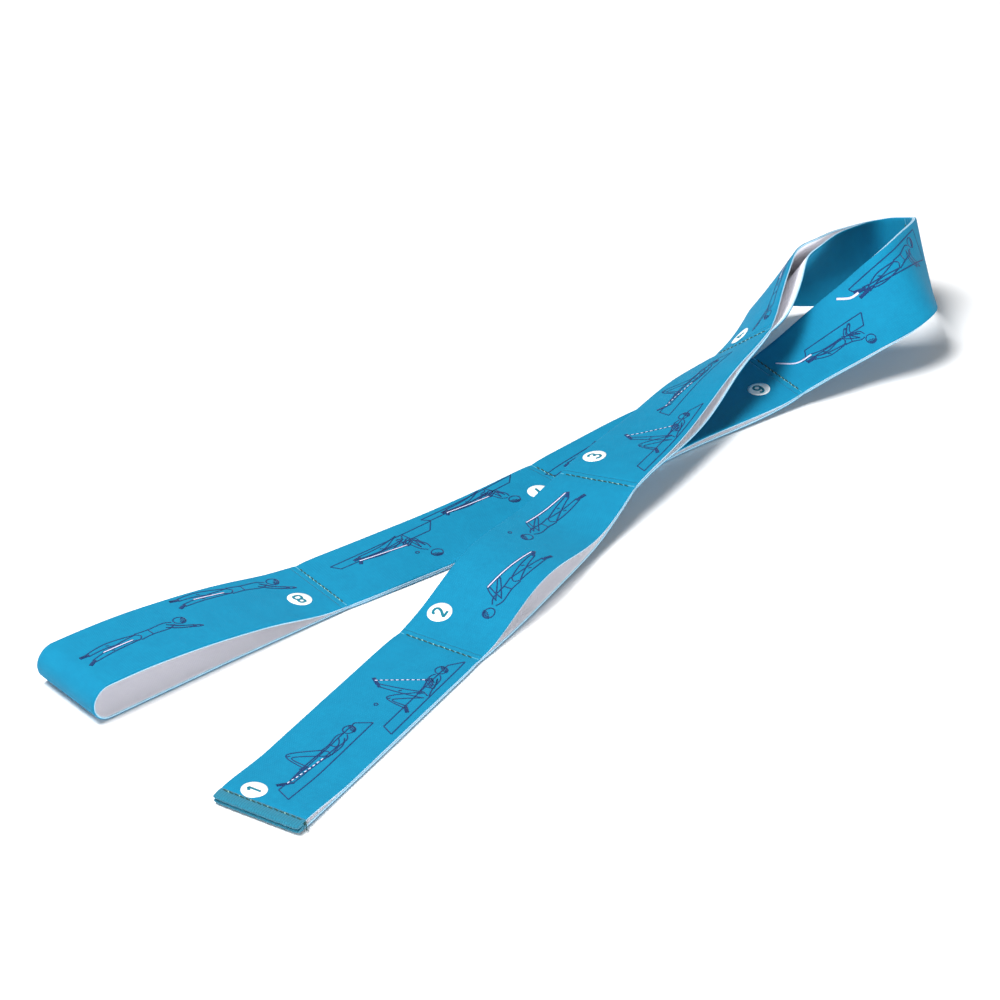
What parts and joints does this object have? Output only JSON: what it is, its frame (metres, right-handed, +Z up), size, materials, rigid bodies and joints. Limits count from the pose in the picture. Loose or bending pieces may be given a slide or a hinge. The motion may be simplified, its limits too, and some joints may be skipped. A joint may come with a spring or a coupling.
{
  "type": "stretching strap",
  "caption": "Elastic physiotherapy stretching strap: a band folded double and sewn across into hand loops, laid in a U turn.",
  "frame": {"origin": "centre of the strap's bounding box on the surface it lies on", "axes": "+X along the strap's long way, towards its turn; +Y from the upper run towards the lower run; +Z up"},
  "size_m": [0.5179, 0.1526, 0.0547],
  "materials": {
    "band": "satin",
    "hem": "satin",
    "thread": "matte"
  },
  "bodies": {
    "loop_1": {"front_ply_1": "band", "back_ply_1": "band", "back_hem": "hem", "front_hem": "hem", "hem_needle_thread": "thread", "hem_bobbin_thread": "thread", "hem_thread_knot": "thread"},
    "loop_2": {"front_ply_2": "band", "back_ply_2": "band", "needle_thread_1": "thread", "bobbin_thread_1": "thread"},
    "loop_3": {"front_ply_3": "band", "back_ply_3": "band", "needle_thread_2": "thread", "bobbin_thread_2": "thread"},
    "loop_4": {"front_ply_4": "band", "back_ply_4": "band", "needle_thread_3": "thread", "bobbin_thread_3": "thread"},
    "loop_5": {"front_ply_5": "band", "back_ply_5": "band", "needle_thread_4": "thread", "bobbin_thread_4": "thread"},
    "loop_6": {"front_ply_6": "band", "back_ply_6": "band", "needle_thread_5": "thread", "bobbin_thread_5": "thread", "needle_thread_6": "thread", "bobbin_thread_6": "thread"},
    "loop_7": {"front_ply_7": "band", "back_ply_7": "band", "needle_thread_7": "thread", "bobbin_thread_7": "thread"},
    "loop_8": {"front_ply_8": "band", "back_ply_8": "band", "end_fold": "band"}
  },
  "joints": [
    {"name": "seam_1", "type": "hinge", "parent": "loop_2", "child": "loop_1", "pos_m": [-0.12215, -0.02564, 0.0014], "axis": [-0.2169, 0.9762, 0.0001], "range_deg": [0, 90]},
    {"name": "seam_2", "type": "hinge", "parent": "loop_3", "child": "loop_2", "pos_m": [0.0094, 0.00547, 0.01148], "axis": [-0.209, 0.9687, -0.1341], "range_deg": [0, 60]},
    {"name": "seam_3", "type": "hinge", "parent": "loop_4", "child": "loop_3", "pos_m": [0.14164, 0.03355, 0.01754], "axis": [-0.0988, 0.7648, -0.6367], "range_deg": [0, 30]},
    {"name": "seam_4", "type": "hinge", "parent": "loop_5", "child": "loop_4", "pos_m": [0.25545, 0.0209, 0.02601], "axis": [-0.0712, -0.4032, -0.9123], "range_deg": [-15, 0]},
    {"name": "seam_5", "type": "hinge", "parent": "loop_6", "child": "loop_5", "pos_m": [0.14493, 0.01389, 0.0066], "axis": [-0.2293, -0.9733, -0.0051], "range_deg": [-10, 0]},
    {"name": "seam_6", "type": "hinge", "parent": "loop_6", "child": "loop_7", "pos_m": [0.01034, 0.0277, 0.0014], "axis": [0.0228, 0.9997, 0], "range_deg": [-30, 0]},
    {"name": "seam_7", "type": "hinge", "parent": "loop_7", "child": "loop_8", "pos_m": [-0.12463, 0.0432, 0.0014], "axis": [0.1451, 0.9894, 0], "range_deg": [0, 90]}
  ]
}
